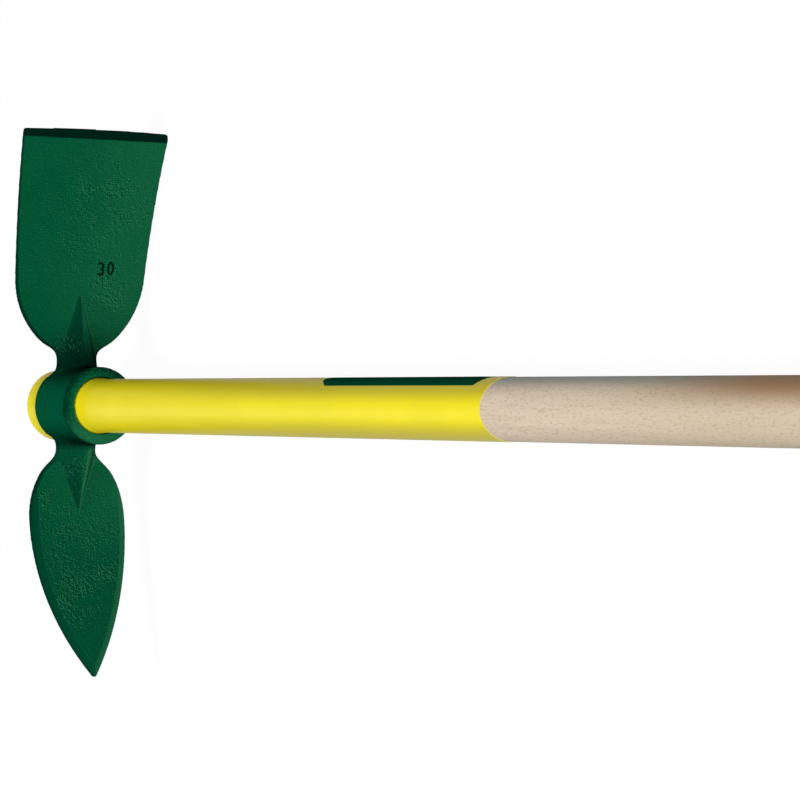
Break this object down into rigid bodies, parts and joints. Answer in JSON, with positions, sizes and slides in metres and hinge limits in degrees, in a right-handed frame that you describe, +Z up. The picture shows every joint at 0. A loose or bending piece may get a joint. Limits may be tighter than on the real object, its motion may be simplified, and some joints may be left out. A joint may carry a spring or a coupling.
{
  "type": "forged two-bladed hoe",
  "caption": "Hand hoe: one forging with an eye, a broad cutting blade and a pointed tongue blade, wedged on the flared end of a long turned wooden handle.",
  "frame": {"origin": "centre of the flat head end of the handle, on the handle's axis", "axes": "+X along the handle from its head end towards the grip, +Y towards the broad blade, +Z up with the tool lying on the ground on one edge of its blades"},
  "size_m": [1.2, 0.3003, 0.0858],
  "materials": {
    "beech": "bare turned beech",
    "yellow_lacquer": "thick glossy yellow dip lacquer",
    "green_paint": "satin dark green paint over forge scale"
  },
  "bodies": {
    "handle_body": {"handle": "beech", "handle_coat": "yellow_lacquer"},
    "head_body": {"hoe_head": "green_paint"}
  },
  "joints": [
    {"name": "head_slide", "type": "slide", "parent": "handle_body", "child": "head_body", "axis": [1, 0, 0], "range_m": [0, 1.14]}
  ]
}
